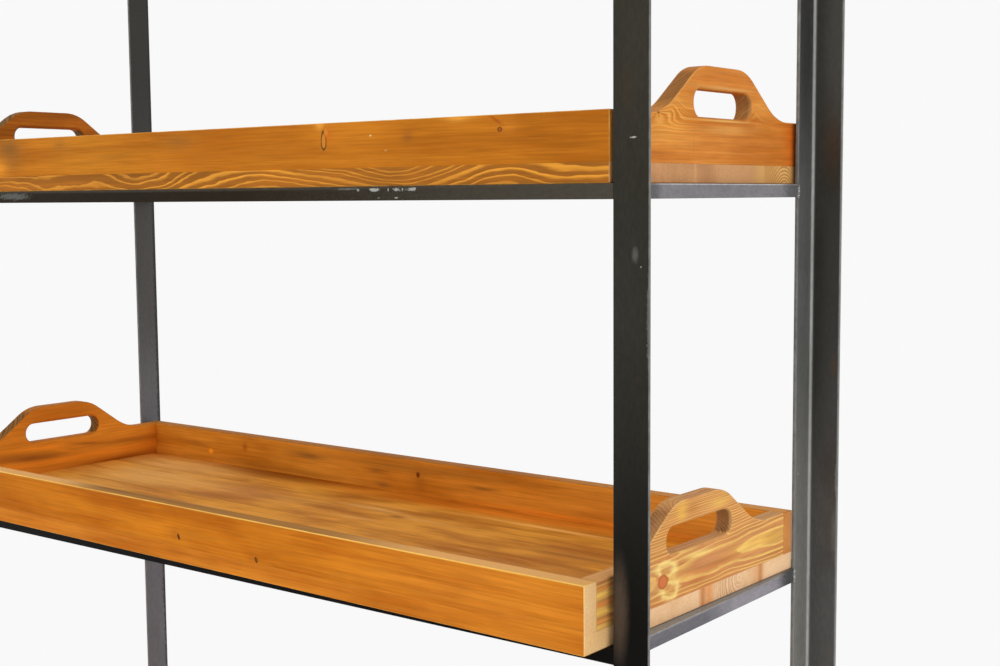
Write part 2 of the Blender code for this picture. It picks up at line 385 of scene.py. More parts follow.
# Boards whose figure is known; places are along the grain and across it, from each board's own origin
LOOKS = {}
LOOKS[3, "front_board"] = dict(
    tone=tones(GOLD, deep=(168, 95, 18), pale=(199, 120, 29), end=(200, 132, 60),
               end_deep=(184, 116, 50)),
    figure=0.1, pith=(0.09, -0.05),
    knots=[
        knot((0.2146, 0.0055), (0.004, 0.0112), 0.004, (86, 64, 26), (206, 126, 44), 0.75),
        knot((0.2185, 0.015), (0.0032, 0.0062), 0.0, (202, 112, 34), (212, 126, 44), 0.7, turn=0.25),
        knot((0.4587, 0.0098), (0.0032, 0.0025), 0.003, (120, 68, 22), (160, 88, 28), 0.6)],
    patches=[
        stain((0.454, 0.019), (0.0095, 0.0016), (160, 66, 16), 0.8, turn=-0.55),
        stain((0.2235, 0.011), (0.006, 0.012), (200, 110, 30), 0.6),
        stain((0.2085, 0.0225), (0.007, 0.0045), (238, 164, 64), 0.7),
        stain((0.405, 0.0225), (0.016, 0.0034), (238, 164, 64), 0.7),
        stain((0.337, 0.0051), (0.008, 0.006), (148, 88, 30), 0.7),
        stain((0.2842, 0.0091), (0.0013, 0.0008), PALE_SPECK, 0.8),
        stain((0.3058, -0.0071), (0.0016, 0.0006), PALE_SPECK, 0.6),
        stain((0.03, 0.004), (0.11, 0.026), (174, 98, 18), 0.75),
        stain((-0.19, 0.0), (0.1, 0.03), (208, 136, 38), 0.5),
        stain((-0.372, 0.007), (0.026, 0.02), SMUDGE, 0.75),
        stain((-0.4, -0.014), (0.022, 0.012), (232, 148, 44), 0.9),
        stain((-0.028, 0.011), (0.028, 0.008), SMUDGE, 0.5),
        stain((-0.26, 0.013), (0.016, 0.01), SMUDGE, 0.3),
        stain((0.16, -0.012), (0.09, 0.008), (206, 130, 34), 0.4),
        stain((0.47, 0.012), (0.012, 0.008), (206, 126, 40), 0.5)])
LOOKS[3, "plank_1"] = dict(
    tone=BROWN, figure=0.85, pith=(-0.052, -0.055), ring=0.006, late_from=0.5, uneven=0.75,
    end_rings=0.05, sway=0.026, sway_scale=4.2, quiver=0.002)
LOOKS[3, "right_end"] = dict(
    tone=ROSY, figure=0.1, pith=(0.04, 0.12), ring=0.003, sway=0.0022, lean=(0.01, 0.02), quiver=0.0012,
    uneven=1.0,
    knots=[knot((-0.1222, 0.0499), (0.0022, 0.0018), 0.006, (150, 88, 34), (120, 66, 24), 0.6)],
    eddies=[
        bend((-0.095, 0.058), (0.018, 0.012), 0.012),
        bend((0.0847, 0.0595), (0.014, 0.01), 0.008),
        bend((-0.122, 0.048), (0.022, 0.011), 0.01)],
    flames=[
        bend((-0.102, 0.052), (0.04, 0.02), 8.0),
        bend((0.088, 0.06), (0.018, 0.012), 3.0),
        bend((-0.11, 0.03), (0.06, 0.01), 3.0)],
    patches=[
        stain((-0.052, 0.02), (0.0007, 0.022), (176, 102, 44), 0.3),
        stain((-0.11, 0.042), (0.05, 0.02), (232, 156, 62), 0.5),
        stain((0.02, 0.094), (0.06, 0.012), (202, 116, 44), 0.5),
        stain((0.02, 0.036), (0.05, 0.005), (240, 178, 92), 0.5),
        stain((0.011, 0.0458), (0.06, 0.0011), (246, 200, 116), 0.8),
        stain((0.011, 0.08), (0.055, 0.0016), (226, 170, 100), 0.6),
        # Painted shade beside the rear post, in a deep orange
        stain((0.192, 0.025), (0.032, 0.05), (216, 92, 8), 1.0)])
LOOKS[3, "left_end"] = dict(
    # Worn edges darkened as painted shade under the hand hole's round-over
    tone=tones(SHADED, deep=(166, 98, 28), pale=(206, 124, 38), worn=(150, 98, 40), end=(104, 78, 42),
               end_deep=(92, 70, 38), top=(136, 94, 44)),
    figure=0.25, pith=(0.03, 0.02), ring=0.0042,
    patches=[stain((0.0, 0.096), (0.06, 0.006), (140, 90, 34), 0.6)])
LOOKS[3, "back_board"] = dict(
    # End grain in a deep orange, partly painted shade beside the rear post
    tone=tones(GOLD, end=(204, 112, 36), end_deep=(188, 96, 28)))
LOOKS[3, "plank_2"] = dict(
    tone=tones(GOLD, end=(212, 156, 106), end_deep=(194, 142, 96)),
    pith=(-0.03, 0.05), ring=0.003, end_rings=0.06,
    end_streaks=[
        stain(0.004, 0.003, (222, 170, 118), 0.7),
        stain(0.026, 0.02, (180, 126, 84), 0.6)])
LOOKS[3, "plank_3"] = dict(
    tone=tones(GOLD, end=(204, 152, 104), end_deep=(194, 140, 92)),
    pith=(0.02, -0.06), end_rings=0.06,
    end_streaks=[stain(0.046, 0.018, (214, 164, 98), 0.9)])
LOOKS[3, "plank_4"] = dict(
    tone=tones(GOLD, end=(206, 152, 88), end_deep=(196, 140, 78), end_line=(246, 196, 122)),
    pith=(-0.0065, -0.022), lean=(0.004, 0.0), ring=0.0042, uneven=0.15, late_from=0.4, end_rings=0.95,
    end_focus=(-0.0065, 0.026))
LOOKS[2, "front_board"] = dict(
    # Top darkened as painted shade behind the front edge; end grain pale as painted light beside the front post
    tone=tones(GOLD, deep=(180, 95, 8), pale=(214, 129, 28), top=(124, 76, 26), worn=(255, 212, 112),
               end=(255, 216, 160), end_deep=(250, 202, 142)),
    figure=0.14, ring=0.0042, pith=(0.07, -0.07), top=0.85, end_rings=0.1,
    top_fades=((0.2, 0.4), (-0.17, -0.27)),
    knots=[
        knot((-0.014, -0.013), (0.0019, 0.0038), 0.002, (128, 70, 20), (84, 46, 20), 0.7, turn=0.45),
        knot((0.125, -0.0205), (0.0024, 0.0036), 0.002, (80, 44, 16), (140, 82, 34), 0.6, turn=0.45)],
    patches=[
        stain((-0.02, -0.01), (0.008, 0.007), (180, 98, 22), 0.5),
        stain((0.117, -0.018), (0.01, 0.006), (180, 98, 22), 0.5),
        stain((0.5, 0.0), (0.22, 0.06), (226, 142, 54), 0.35),
        stain((-0.42, 0.0), (0.18, 0.06), (184, 102, 12), 0.5),
        # A bright line along the top front edge, partly wear and partly painted highlight
        stain((0.0, 0.0244), (3.0, 0.0011), (255, 200, 96), 1.0)])
LOOKS[2, "plank_1"] = dict(
    # End grain pale as painted light beside the front post
    tone=tones(GOLD, deep=(180, 95, 15), pale=(214, 129, 37), end=(255, 212, 150),
               end_deep=(252, 200, 136)),
    figure=0.14, ring=0.0042, pith=(-0.06, -0.1), end_rings=0.1)
LOOKS[2, "plank_2"] = dict(
    tone=FLOOR, face="xy", figure=0.15, pith=(0.01, -0.09), grain=FLOOR_GRAIN, end_rings=0.1,
    patches=[
        stain((0.5, 0.0), (0.16, 0.05), (186, 124, 54), 0.6),
        # Paler towards the left end: a painted pool of light
        stain((-0.45, 0.0), (0.12, 0.08), (236, 180, 96), 0.6)])
LOOKS[2, "plank_3"] = dict(
    tone=tones(FLOOR, end_line=(190, 140, 94)),
    face="xy", figure=0.15, pith=(0.024, 0.006), ring=0.0042, grain=FLOOR_GRAIN, end_rings=0.9,
    end_focus=(0.01, 0.026),
    end_streaks=[
        stain(-0.031, 0.008, (232, 152, 86), 0.85),
        stain(-0.0445, 0.0062, (204, 126, 66), 0.85)],
    patches=[
        stain((0.124, 0.02), (0.06, 0.006), (240, 180, 92), 0.7),
        stain((0.05, -0.02), (0.04, 0.006), (240, 176, 84), 0.6),
        stain((-0.2, 0.008), (0.1, 0.03), (224, 160, 82), 0.6),
        stain((0.03, 0.035), (0.05, 0.007), (250, 196, 112), 0.8),
        stain((0.087, 0.017), (0.014, 0.006), (150, 84, 24), 0.8),
        stain((0.423, -0.018), (0.08, 0.008), (160, 98, 34), 0.6),
        stain((-0.096, 0.014), (0.07, 0.005), (160, 116, 64), 0.4),
        # Paler towards the left end: a painted pool of light
        stain((-0.42, 0.0), (0.14, 0.08), (240, 186, 104), 0.7)])
LOOKS[2, "plank_4"] = dict(
    tone=FLOOR, face="xy", figure=0.15, pith=(0.03, 0.08), grain=FLOOR_GRAIN, end_rings=0.1,
    end_streaks=[
        stain(-0.034, 0.008, (226, 162, 104), 0.5),
        stain(-0.023, 0.006, (208, 132, 70), 0.85)],
    patches=[
        stain((0.022, -0.048), (0.06, 0.006), (240, 172, 80), 0.7),
        stain((0.288, 0.001), (0.09, 0.008), (160, 92, 26), 0.6),
        # Paler towards the left end: a painted pool of light
        stain((-0.43, -0.016), (0.14, 0.045), (244, 190, 110), 0.75),
        # Orange along the back board's foot: partly stain, partly painted shade
        stain((0.18, 0.006), (0.3, 0.02), (250, 152, 46), 0.75),
        stain((0.31, -0.025), (0.15, 0.005), (252, 194, 104), 0.9),
        stain((0.17, 0.027), (0.034, 0.006), FOOT_SHADE, 0.45),
        # Orange along the back board's foot: partly stain, partly painted light lifting the shade there
        stain((0.33, 0.0285), (0.16, 0.005), (255, 158, 56), 0.6),
        stain((-0.24, 0.014), (0.12, 0.022), FOOT_SHADE, 0.8)])
LOOKS[2, "back_board"] = dict(
    tone=tones(SHADED, top=(128, 80, 30), worn=(160, 102, 42)),
    top_fades=((0.1, 0.8),), figure=0.15, pith=(0.06, -0.05), grain=(5.0, 60.0),
    knots=[
        knot((0.0158, 0.004), (0.0034, 0.004), 0.003, (150, 82, 22), (112, 62, 20), 0.6),
        knot((-0.4306, -0.008), (0.006, 0.0044), 0.004, (232, 132, 28), (248, 168, 44), 0.9)],
    patches=[
        stain((0.02, -0.01), (0.012, 0.016), (150, 88, 26), 0.5),
        stain((0.12, 0.014), (0.16, 0.006), (160, 104, 40), 0.5),
        stain((-0.05, 0.012), (0.1, 0.008), (164, 104, 36), 0.5),
        stain((-0.465, 0.001), (0.03, 0.004), (146, 88, 30), 0.7),
        stain((-0.349, 0.007), (0.005, 0.006), (176, 80, 24), 0.8),
        stain((-0.208, 0.008), (0.034, 0.005), (140, 92, 40), 0.8),
        stain((-0.064, 0.001), (0.02, 0.004), (140, 88, 34), 0.7),
        stain((-0.052, -0.018), (0.014, 0.003), (120, 88, 44), 0.7),
        stain((0.135, -0.002), (0.026, 0.003), (146, 90, 34), 0.8),
        stain((-0.3, -0.019), (0.2, 0.005), (150, 82, 20), 0.5),
        # Painted light lifting the shade along the foot and at the right end
        stain((0.32, -0.0225), (0.3, 0.004), (238, 142, 36), 0.7),
        stain((0.42, 0.0), (0.12, 0.03), (240, 168, 74), 0.5)])
LOOKS[2, "left_end"] = dict(
    # A lighter stain as painted light that makes up for the shade on this inner face; worn edges darkened as
    # painted shade under the hand hole's round-over
    tone=tones(SHADED, deep=(208, 126, 32), pale=(240, 154, 50), worn=(180, 108, 36), end=(124, 80, 36),
               end_deep=(106, 70, 32), top=(166, 104, 40)),
    figure=0.3, pith=(0.03, 0.03), ring=0.0044, lean=(0.0, -0.08),
    patches=[
        stain((0.01, 0.086), (0.11, 0.024), (196, 112, 26), 0.75),
        stain((-0.05, 0.0385), (0.055, 0.0034), (250, 154, 40), 0.9, turn=-0.04),
        stain((0.006, 0.0305), (0.024, 0.0032), (250, 154, 40), 0.9, turn=-0.28),
        stain((0.055, 0.034), (0.036, 0.0026), (158, 96, 36), 0.8, turn=-0.11),
        stain((0.13, 0.029), (0.07, 0.0036), (172, 104, 34), 0.8),
        stain((-0.045, 0.0255), (0.066, 0.0062), (148, 88, 32), 1.0, turn=-0.09),
        stain((0.06, 0.0148), (0.15, 0.0052), (252, 156, 42), 0.95),
        stain((0.11, 0.0), (0.1, 0.0075), (164, 86, 16), 0.95)])
LOOKS[2, "right_end"] = dict(
    tone=tones(YELLOW, top=(186, 142, 98)),
    top_fades=((-0.115, -0.15),), figure=0.85, pith=(0.02, 0.0255), lean=(-0.02, 0.01), ring=0.004356,
    squeeze=7.0, late_from=0.5, uneven=0.25, sway=0.0011, sway_scale=9.0, quiver=0.0007,
    loops=[
        loop((-0.064, 0.0352), (0.0165, 0.0068), 0.36, 0.95, turn=-0.1),
        loop((-0.058, 0.012), (0.0165, 0.0076), 0.32, 0.9, turn=-0.1),
        loop((-0.0735, 0.024), (0.025, 0.0165), 0.12, 0.25)],
    knots=[knot((-0.0712, 0.023), (0.0084, 0.0072), 0.0045, (196, 114, 60), RED_KNOT, 0.65)],
    patches=[
        stain((-0.064, 0.0348), (0.0085, 0.0032), (222, 170, 100), 0.8),
        stain((-0.056, 0.0132), (0.009, 0.0042), (226, 170, 96), 0.8),
        stain((-0.085, 0.0235), (0.0075, 0.0075), (228, 170, 104), 0.8),
        stain((-0.004, 0.0118), (0.02, 0.002), (206, 126, 66), 0.8),
        stain((0.0, 0.0392), (0.028, 0.003), (252, 216, 128), 0.9, turn=-0.04),
        stain((0.148, 0.0262), (0.066, 0.0066), (250, 206, 104), 0.9, turn=-0.02),
        stain((0.16, 0.028), (0.018, 0.003), (212, 152, 68), 0.7),
        stain((0.02, 0.0285), (0.034, 0.0046), (216, 150, 98), 0.9),
        # Stripes by the front post, made brighter as painted light against its shadow
        stain((-0.19, 0.041), (0.03, 0.0022), (236, 150, 66), 0.9),
        stain((-0.19, 0.0345), (0.03, 0.0036), (255, 202, 98), 1.0),
        stain((-0.19, 0.0245), (0.03, 0.003), (248, 158, 76), 0.9),
        stain((-0.19, 0.0172), (0.03, 0.004), (255, 202, 98), 1.0),
        stain((-0.19, 0.0082), (0.03, 0.0024), (248, 158, 76), 0.9),
        stain((-0.19, 0.003), (0.03, 0.0026), (255, 202, 104), 1.0),
        stain((-0.08, 0.062), (0.016, 0.013), (226, 162, 96), 0.55),
        stain((-0.055, 0.085), (0.018, 0.008), (222, 156, 88), 0.5),
        stain((-0.034, 0.092), (0.01, 0.012), (244, 190, 84), 0.8),
        stain((-0.013, 0.0905), (0.012, 0.006), (196, 130, 62), 0.7),
        stain((0.043, 0.088), (0.02, 0.006), (244, 194, 96), 0.7)])


def board_look(level, part, seed):
    """The look of a board: its own if it is known, or else a plain one that differs a little by seed."""
    chance = random.Random(seed)
    look = dict(PLAIN)
    look["pith"] = (chance.uniform(0.03, 0.09), chance.uniform(-0.08, -0.02))
    look["lean"] = (chance.uniform(-0.02, 0.02), chance.uniform(-0.01, 0.01))
    look["ring"] = chance.uniform(0.0030, 0.0042)
    look["figure"] = chance.uniform(0.15, 0.40)
    if part.endswith("_end"):
        look["tone"] = chance.choice([ROSY, YELLOW])
        look["pith"] = (chance.uniform(0.015, 0.04), chance.uniform(0.02, 0.06))
        look["figure"] = chance.uniform(0.35, 0.75)
    if "plank" in part:
        look["tone"] = chance.choice([GOLD, FLOOR])
        look["face"] = "xy"
        look["top"] = 0.0
        # Painted shade along the lower edge of the plank's ends
        look["end_foot"] = 0.6
        if chance.random() < KNOT_CHANCE:
            spot = (chance.uniform(-0.5, 0.5), chance.uniform(-0.03, 0.03))
            look["knots"] = [knot(spot, **SMALL_KNOT)]
    look.update(LOOKS.get((level, part), {}))
    return look


class Grain:
    """A board's coordinates and noises, from which its pattern is made. The functions below call it g."""

    def __init__(self, nodes, seed, look):
        coordinates = nodes.add("ShaderNodeTexCoord")
        self.nodes = nodes
        self.seed = seed
        self.look = look
        self.place = coordinates.outputs["Object"]
        self.facing = nodes.split(coordinates.outputs["Normal"])
        self.x, self.y, self.z = nodes.split(self.place)
        self.v = self.z if look["face"] == "xz" else self.y
        self.shift = tuple(seed * step for step in SEED_STEPS)
        self.blotch = self.noise(*BLOTCHES)
        self.streak = self.noise(*look["grain"], *STREAKS)
        self.fibre = self.noise(*FIBRES)
        self.quick = self.noise(*QUICK_SWAY)

    def noise(self, along, aside, detail=2.0, roughness=0.5):
        return self.nodes.texture(self.place, (along, aside, aside), self.shift, detail, roughness)

    def oval(self, spot, reach=1.0):
        """Squared distance from a spot on the board's face, by its size."""
        size = [reach * side for side in spot["size"]]
        return self.nodes.oval(self.x, self.v, spot["at"], size, spot["turn"])

    def hump(self, spot, reach=1.0):
        """1 in the middle of a spot, fading softly past its outline."""
        return self.nodes.fade(self.oval(spot, reach))


def shares(value, factors):
    return [value * factor for factor in factors]


def ring_count(g):
    """Years since the pith, which wander along the board and close round its knots."""
    n, look = g.nodes, g.look
    slow = g.noise(look["sway_scale"], *SLOW_SWAY)
    radius = n.plus(n.swing(slow, look["sway"]), n.swing(g.quick, look["quiver"]))
    across = n.minus(n.times_plus(g.x, -look["lean"][0], g.y), look["pith"][0])
    above = n.minus(n.times_plus(g.x, -look["lean"][1], g.z), look["pith"][1])
    square = n.times_plus(across, across, n.times(above, above))
    radius = n.plus(radius, n.math("SQRT", square))
    if look["squeeze"]:
        radius = n.times_plus(n.times(radius, radius), look["squeeze"], radius)
    for spot in look["knots"]:
        radius = n.times_plus(g.hump(spot, SWIRL_REACH), spot["swirl"], radius)
    for spot in look["eddies"]:
        radius = n.times_plus(g.hump(spot), spot["gain"], radius)
    rings = n.math("DIVIDE", radius, look["ring"])
    years = n.add("ShaderNodeCombineXYZ", {"X": n.times(rings, YEARS[0]), "Y": g.seed * YEARS[1]}).outputs[0]
    uneven = n.spread(n.noise(years, detail=1.0), *YEAR_RANGE, -look["uneven"], look["uneven"])
    return n.plus(rings, uneven)


def late_wood(g):
    """The late part of each ring, and how strongly it shows on the faces."""
    n, look = g.nodes, g.look
    rings = ring_count(g)
    number = n.math("FLOOR", rings)
    year = n.add("ShaderNodeTexWhiteNoise", {"W": number}, noise_dimensions="1D").outputs["Value"]
    part = n.math("FRACT", rings)
    start = n.times_plus(g.streak, LATE_SHIFT, look["late_from"] - LATE_SHIFT / 2)
    late = n.times(n.smooth(part, start, LATE_FULL), n.smooth(part, *LATE_CLOSE))
    strength = n.vary(g.noise(*RING_VIGOUR), *RING_SHARES)
    weakest = 1.0 - YEAR_SHARES[0] * look["uneven"]
    strength = n.times(strength, n.spread(year, 0.0, 1.0, weakest, YEAR_SHARES[1]))
    for spot in look["flames"]:
        strength = n.times_plus(g.hump(spot), spot["gain"], strength)
    figured = n.times(n.times(late, strength), look["figure"], clamp=True)
    return late, figured


def loop_line(g, spot):
    """How strongly a pale ring shows; its line is uneven."""
    n = g.nodes
    wobble = n.vary(g.noise(*LOOP_WOBBLE), -1 - LOOP_RAGGED, LOOP_RAGGED - 1)
    gap = n.plus(n.math("SQRT", g.oval(spot)), wobble)
    width = n.spread(g.quick, *LOOP_RANGE, *shares(spot["width"], LOOP_SHARES))
    return n.times(n.bell(n.math("DIVIDE", gap, width)), spot["gain"])


def face_colour(g, figured):
    """Colour of the faces: stain in blotches and streaks, rings, pale loops, spots, fibres and knots."""
    n, look, tone = g.nodes, g.look, g.look["tone"]
    taken = n.times_plus(g.streak, STAIN_SHARES[0], n.times(g.blotch, STAIN_SHARES[1]))
    colour = n.blend(n.smooth(taken, *STAIN_PASSAGE), tone["deep"], tone["pale"])
    colour = n.blend(figured, colour, tone["late"])
    for spot in look["loops"]:
        colour = n.blend(loop_line(g, spot), colour, CREAM)
    for spot in look["patches"]:
        ragged = n.vary(g.streak, *shares(spot["gain"], SPOT_SHARES))
        colour = n.blend(n.times(g.hump(spot), ragged, clamp=True), colour, spot["colour"])
    colour = n.dapple(colour, g.fibre, *FIBRE_SHADES)
    for spot in look["knots"]:
        gap = n.plus(n.math("SQRT", g.oval(spot)), n.vary(g.quick, -KNOT_SOFTNESS, KNOT_SOFTNESS))
        core = n.smooth(gap, spot["thin"] + KNOT_SOFTNESS, spot["thin"] - KNOT_SOFTNESS)
        colour = n.blend(n.smooth(gap, *KNOT_RIM), colour, spot["rim"])
        colour = n.blend(core, colour, spot["core"])
    return colour


def with_top_wear_and_painted_light(g, colour):
    """Adds the top faces, where hands and sanding took some of the stain; their pale tones are partly painted
    sheen, and their dark ones painted shade.
    """
    n, look = g.nodes, g.look
    if not look["top"]:
        return colour
    top = look["tone"]["top"]
    for ramp in look["top_fades"]:
        top = n.blend(n.smooth(g.x, *ramp), top, PALE_TOP_AND_SHEEN)
    up = n.smooth(g.facing["Z"], *TOP_FACING)
    rubbed = n.vary(g.streak, *shares(look["top"], TOP_SHARES))
    return n.blend(n.times(up, rubbed, clamp=True), colour, top)


def with_ends(g, colour, late):
    """Adds the end grain, where the surface faces along the board."""
    n, look, tone = g.nodes, g.look, g.look["tone"]
    cut = n.blend(n.spread(g.blotch, *END_RANGE, 0.0, 1.0), tone["end"], tone["end_deep"])
    arcs = n.times(n.times(n.band(g.y, *look["end_focus"]), look["end_rings"]), late)
    cut = n.blend(arcs, cut, tone["end_line"])
    for spot in look["end_streaks"]:
        cut = n.blend(n.times(n.band(g.y, spot["at"], spot["size"]), spot["gain"]), cut, spot["colour"])
    # Painted shade along the lower edge of a plank's ends
    if look["end_foot"]:
        cut = n.blend(n.times(n.smooth(g.z, *PLANK_FOOT), look["end_foot"]), cut, srgb(*FOOT_SHADE))
    cut = n.dapple(cut, g.noise(*SPECKLES), *SPECKLE_SHADES)
    return n.blend(n.smooth(n.math("ABSOLUTE", g.facing["X"]), *END_FACING), colour, cut)


def with_wear_and_highlight(g, colour):
    """Adds the worn edges; their tone is partly wear and partly painted highlight, and on the left ends painted
    shade.
    """
    n = g.nodes
    eased = n.add("ShaderNodeAttribute", attribute_name="eased").outputs["Fac"]
    rub = n.spread(g.noise(*RUBBING), *RUB_RANGE, *RUB_SHARES)
    return n.blend(n.times(eased, rub), colour, g.look["tone"]["worn"])


def pine(name, seed, look):
    """Stained pine sawn from a log, with rings round a pith, knots, streaks and fibres."""
    material, n = new_material(name)
    g = Grain(n, seed, look)
    late, figured = late_wood(g)
    colour = with_wear_and_highlight(g, with_ends(g, with_top_wear_and_painted_light(g, face_colour(g, figured)), late))
    rough = n.spread(n.times_plus(late, LATE_GLOSS, g.fibre), *GLOSS_RANGE, *PINE_ROUGHNESS)
    height = n.times_plus(g.fibre, FIBRE_HEIGHT, n.times(figured, RING_HEIGHT))
    surface(n, colour, rough, n.bumps(height, *PINE_RELIEF), Specular_IOR_Level=PINE_SPECULAR)
    return material


# Tones of the steel and of the marks on it
CHALK = srgb(172, 172, 166)
RUBBED = srgb(104, 104, 100)
RUST = srgb(74, 54, 36)
# Painted reflection of a tray's wooden end
PAINTED_TRAY_REFLECTION = srgb(104, 88, 74)
# Painted dark reflection
PAINTED_DARK_REFLECTION = srgb(14, 12, 10)
PALER_STEEL = srgb(72, 67, 58)
LIGHTER_STEEL = srgb(146, 142, 149)
# Painted shade on the lower side rail's top, under its tray
PAINTED_RAIL_SHADE = srgb(140, 138, 134)
DARKER_STEEL = srgb(66, 67, 66)
BROWNED = srgb(50, 41, 30)
WELD_GREY = srgb(172, 172, 168)
WELD_DARK = srgb(84, 83, 80)
# Rubbed post edges and side-rail tops, with a painted highlight along them
RUBBED_AND_HIGHLIT_STEEL = srgb(132, 132, 129)
RAIL_GLINT = srgb(200, 200, 198)
RUBBER_TONES = (srgb(24, 24, 24), srgb(46, 45, 44))

# Lines of painted highlight along edges, partly over rubbing, and along the posts' inner corners: from where
# they start to fade to where they are full; and the wall of the posts
RUBBED_AND_HIGHLIT_LINE = (0.0014, 0.0004)
RAIL_LINE = (0.0018, 0.0006)
INNER_LINE = (0.0042, 0.0012)
ANGLE_THICKNESS = 0.004

# Noises in the steel: scale along a bar and aside, or scale and shift on each axis, detail and roughness
ROLLED = (3.5, 11.0)
GRAIN = (110.0, 300.0)
CLOUDY = (4.0, 0.6)
TINT = ((16.0, 16.0, 6.0), (3.0, 8.0, 1.0), 3.0, 0.5)
SCUFFS = ((95.0, 95.0, 60.0), (1.0, 4.0, 6.0), 4.0, 0.7)
NICKS = ((420.0, 420.0, 420.0), (6.0, 2.0, 9.0), 3.0, 0.6)
WELD_RIPPLES = ((300.0, 300.0, 700.0), NO_SHIFT, 3.0)
RUBBER_CLOUDS = ((120.0, 120.0, 120.0), NO_SHIFT, 3.0)

# How they act: bounds of a soft passage, or shares at their low and at their high end
CLOUD_SHADES = (0.78, 1.24)
GRAIN_SHADES = (0.9, 1.1)
TINT_PASSAGE = (0.56, 0.74)
TINT_SHARE = 0.3
SCUFF_PASSAGE = (0.70, 0.80)
SCUFF_SHARE = 0.4
SCUFF_ROUGHNESS = 0.15
EDGE_WEAR_AND_LIGHT_RANGE = (0.35, 0.65)
EDGE_WEAR_AND_LIGHT_SHARES = (0.45, 0.9)
WELD_PASSAGE = (0.40, 0.60)

# Gloss and relief of steel, welds and rubber
STEEL_RELIEF = (0.12, 0.0002)
WELD_RELIEF = (0.5, 0.0004)
WELD_ROUGHNESS = (0.35, 0.5)
WELD_METAL = 0.2
RUBBER_ROUGHNESS = (0.65, 0.85)

# How far a normal leans before a face takes the tone of that direction; each direction has its own painted
# light or shade
STEEL_FACING = (0.60, 0.80)

# Front faces of the posts, how deep a mark on them reaches, and how ragged the outline of a mark is
FRONT_FACE = -0.1939
MARK_DEPTH = 0.004
MARK_RAGGED = 0.8


def mark(at, reach, colour, gain, soft=0.25):
    """A mark on the steel: place in the unit's frame, reach, colour, strength and softness."""
    return {"at": at, "reach": reach, "colour": colour, "gain": gain, "soft": soft}


def front_mark(x, z, wide, tall, *rest):
    return mark((x, FRONT_FACE, z), (wide, MARK_DEPTH, tall), *rest)


def tones_with_painted_light(x, y, top, rough, specular, corner=None):
    """Painted light and shade of steel: tones of faces that look along X and Y, low, midway and high up, with
    those of top and inner corner.
    """
    return {"x": [srgb(*tone) for tone in x], "y": [srgb(*tone) for tone in y], "top": srgb(*top),
            "rough": rough, "specular": specular, "corner": corner and srgb(*corner)}


# Marks on the steel, by node
MARKS = {
    "post_front_right": [
        # Painted reflection of the lower tray's end, low on the post's front
        front_mark(0.6005, 0.64, 0.0085, 0.04, PAINTED_TRAY_REFLECTION, 0.54, 0.75),
        front_mark(0.6157, 1.0944, 0.0028, 0.0008, CHALK, 1.0),
        front_mark(0.6185, 0.985, 0.003, 0.006, RUBBED, 0.6, 0.7),
        front_mark(0.6249, 0.9736, 0.0007, 0.0008, CHALK, 0.6),
        front_mark(0.6105, 1.138, 0.006, 0.02, RUST, 0.2, 0.8),
        front_mark(0.633, 0.92, 0.0016, 0.04, RUBBED, 0.6)],
    "post_back_left": [
        # Painted dark reflection along the rear edge of the post's side face
        mark((-0.594, 0.229, 1.0), (0.004, 0.004, 0.9), PAINTED_DARK_REFLECTION, 0.8)],
    "post_back_right": [
        mark((0.6222, 0.2261, 1.097), (0.008, 0.004, 0.026), RUST, 0.35, 0.8),
        mark((0.6329, 0.2261, 0.7036), (0.0016, 0.004, 0.016), RUBBED, 1.0),
        mark((0.632, 0.2261, 0.639), (0.004, 0.004, 0.024), RUBBED, 0.7, 0.7),
        mark((0.6284, 0.2261, 0.84), (0.004, 0.004, 0.01), RUST, 0.6, 0.8),
        mark((0.598, 0.1974, 0.7126), (0.004, 0.0011, 0.0012), CHALK, 0.8)],
    "rail_2_right": [
        mark((0.598, 0.09, 0.5925), (0.004, 0.075, 0.05), LIGHTER_STEEL, 1.0, 0.7),
        # Painted shade over the rail's top and its painted glint, under the tray
        mark((0.5915, 0.02, 0.6), (0.012, 0.6, 0.002), PAINTED_RAIL_SHADE, 0.8, 0.4),
        mark((0.598, 0.185, 0.5925), (0.004, 0.026, 0.05), DARKER_STEEL, 0.9, 0.5)],
    "rail_3_right": [
        mark((0.598, 0.185, 1.0445), (0.004, 0.028, 0.05), DARKER_STEEL, 0.6, 0.5),
        mark((0.598, -0.135, 1.0445), (0.004, 0.018, 0.05), DARKER_STEEL, 0.6, 0.6)],
    "rail_3_front": [
        front_mark(0.62, 1.043, 0.29, 0.04, PALER_STEEL, 1.0, 1.0),
        front_mark(0.0, 1.0517, 0.9, 0.0022, PALER_STEEL, 0.7, 0.6),
        front_mark(0.25, 1.0497, 0.013, 0.001, RUBBED, 0.8),
        front_mark(0.266, 1.0485, 0.002, 0.0014, CHALK, 0.7),
        front_mark(0.2893, 1.0484, 0.0062, 0.0017, CHALK, 0.9),
        front_mark(0.3094, 1.0486, 0.0009, 0.0017, CHALK, 0.8),
        front_mark(0.3214, 1.0486, 0.0046, 0.0016, CHALK, 0.8),
        front_mark(0.3295, 1.0486, 0.0012, 0.0017, CHALK, 0.8),
        front_mark(0.3355, 1.0486, 0.003, 0.001, RUBBED, 0.7),
        front_mark(0.344, 1.0486, 0.005, 0.0016, CHALK, 0.9),
        front_mark(0.3205, 1.0398, 0.002, 0.001, CHALK, 0.7),
        front_mark(0.296, 1.0398, 0.0016, 0.0008, RUBBED, 0.8),
        front_mark(-0.365, 1.0455, 0.032, 0.004, RUBBED, 0.7)],
}

